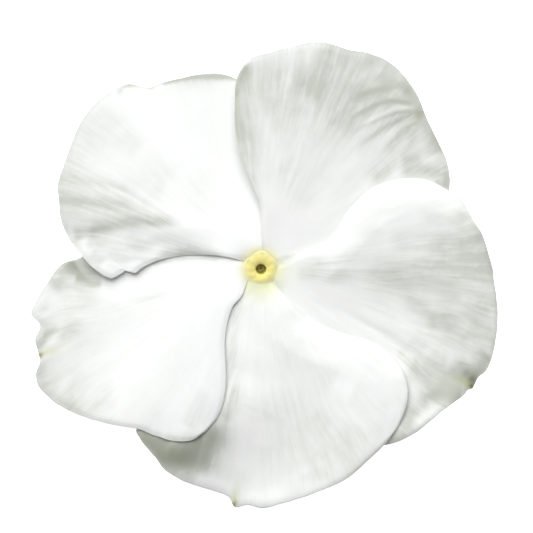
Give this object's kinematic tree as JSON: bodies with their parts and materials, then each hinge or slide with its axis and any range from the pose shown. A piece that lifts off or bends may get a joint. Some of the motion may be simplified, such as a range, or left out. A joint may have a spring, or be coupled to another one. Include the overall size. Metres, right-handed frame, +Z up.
{
  "type": "vinca flower",
  "caption": "Cut vinca flower: broad white petals overlap like a pinwheel round a puckered yellow eye, on a slender tube with calyx and short stalk; it lies leaning on its petals",
  "frame": {"origin": "Bottom centre of the bounding box, on the surface that the flower lies on", "axes": "+Z is up. The face of the flower leans back and looks towards -Y, tipped up by about 35 degrees; the tube and the cut stalk run back and down towards +Y. +X is to the right as seen from in front of the face"},
  "size_m": [0.0476, 0.0398, 0.0385],
  "materials": {
    "petal": "matte",
    "eye": "matte",
    "tube": "matte",
    "pistil": "matte",
    "calyx": "satin",
    "stalk": "satin"
  },
  "bodies": {
    "root": {"petal_right": "petal", "petal_top": "petal", "petal_upper_left": "petal", "petal_lower_left": "petal", "petal_bottom": "petal", "throat_eye": "eye", "corolla_tube": "tube", "pistil": "pistil", "calyx": "calyx", "pedicel": "stalk"}
  },
  "joints": []
}
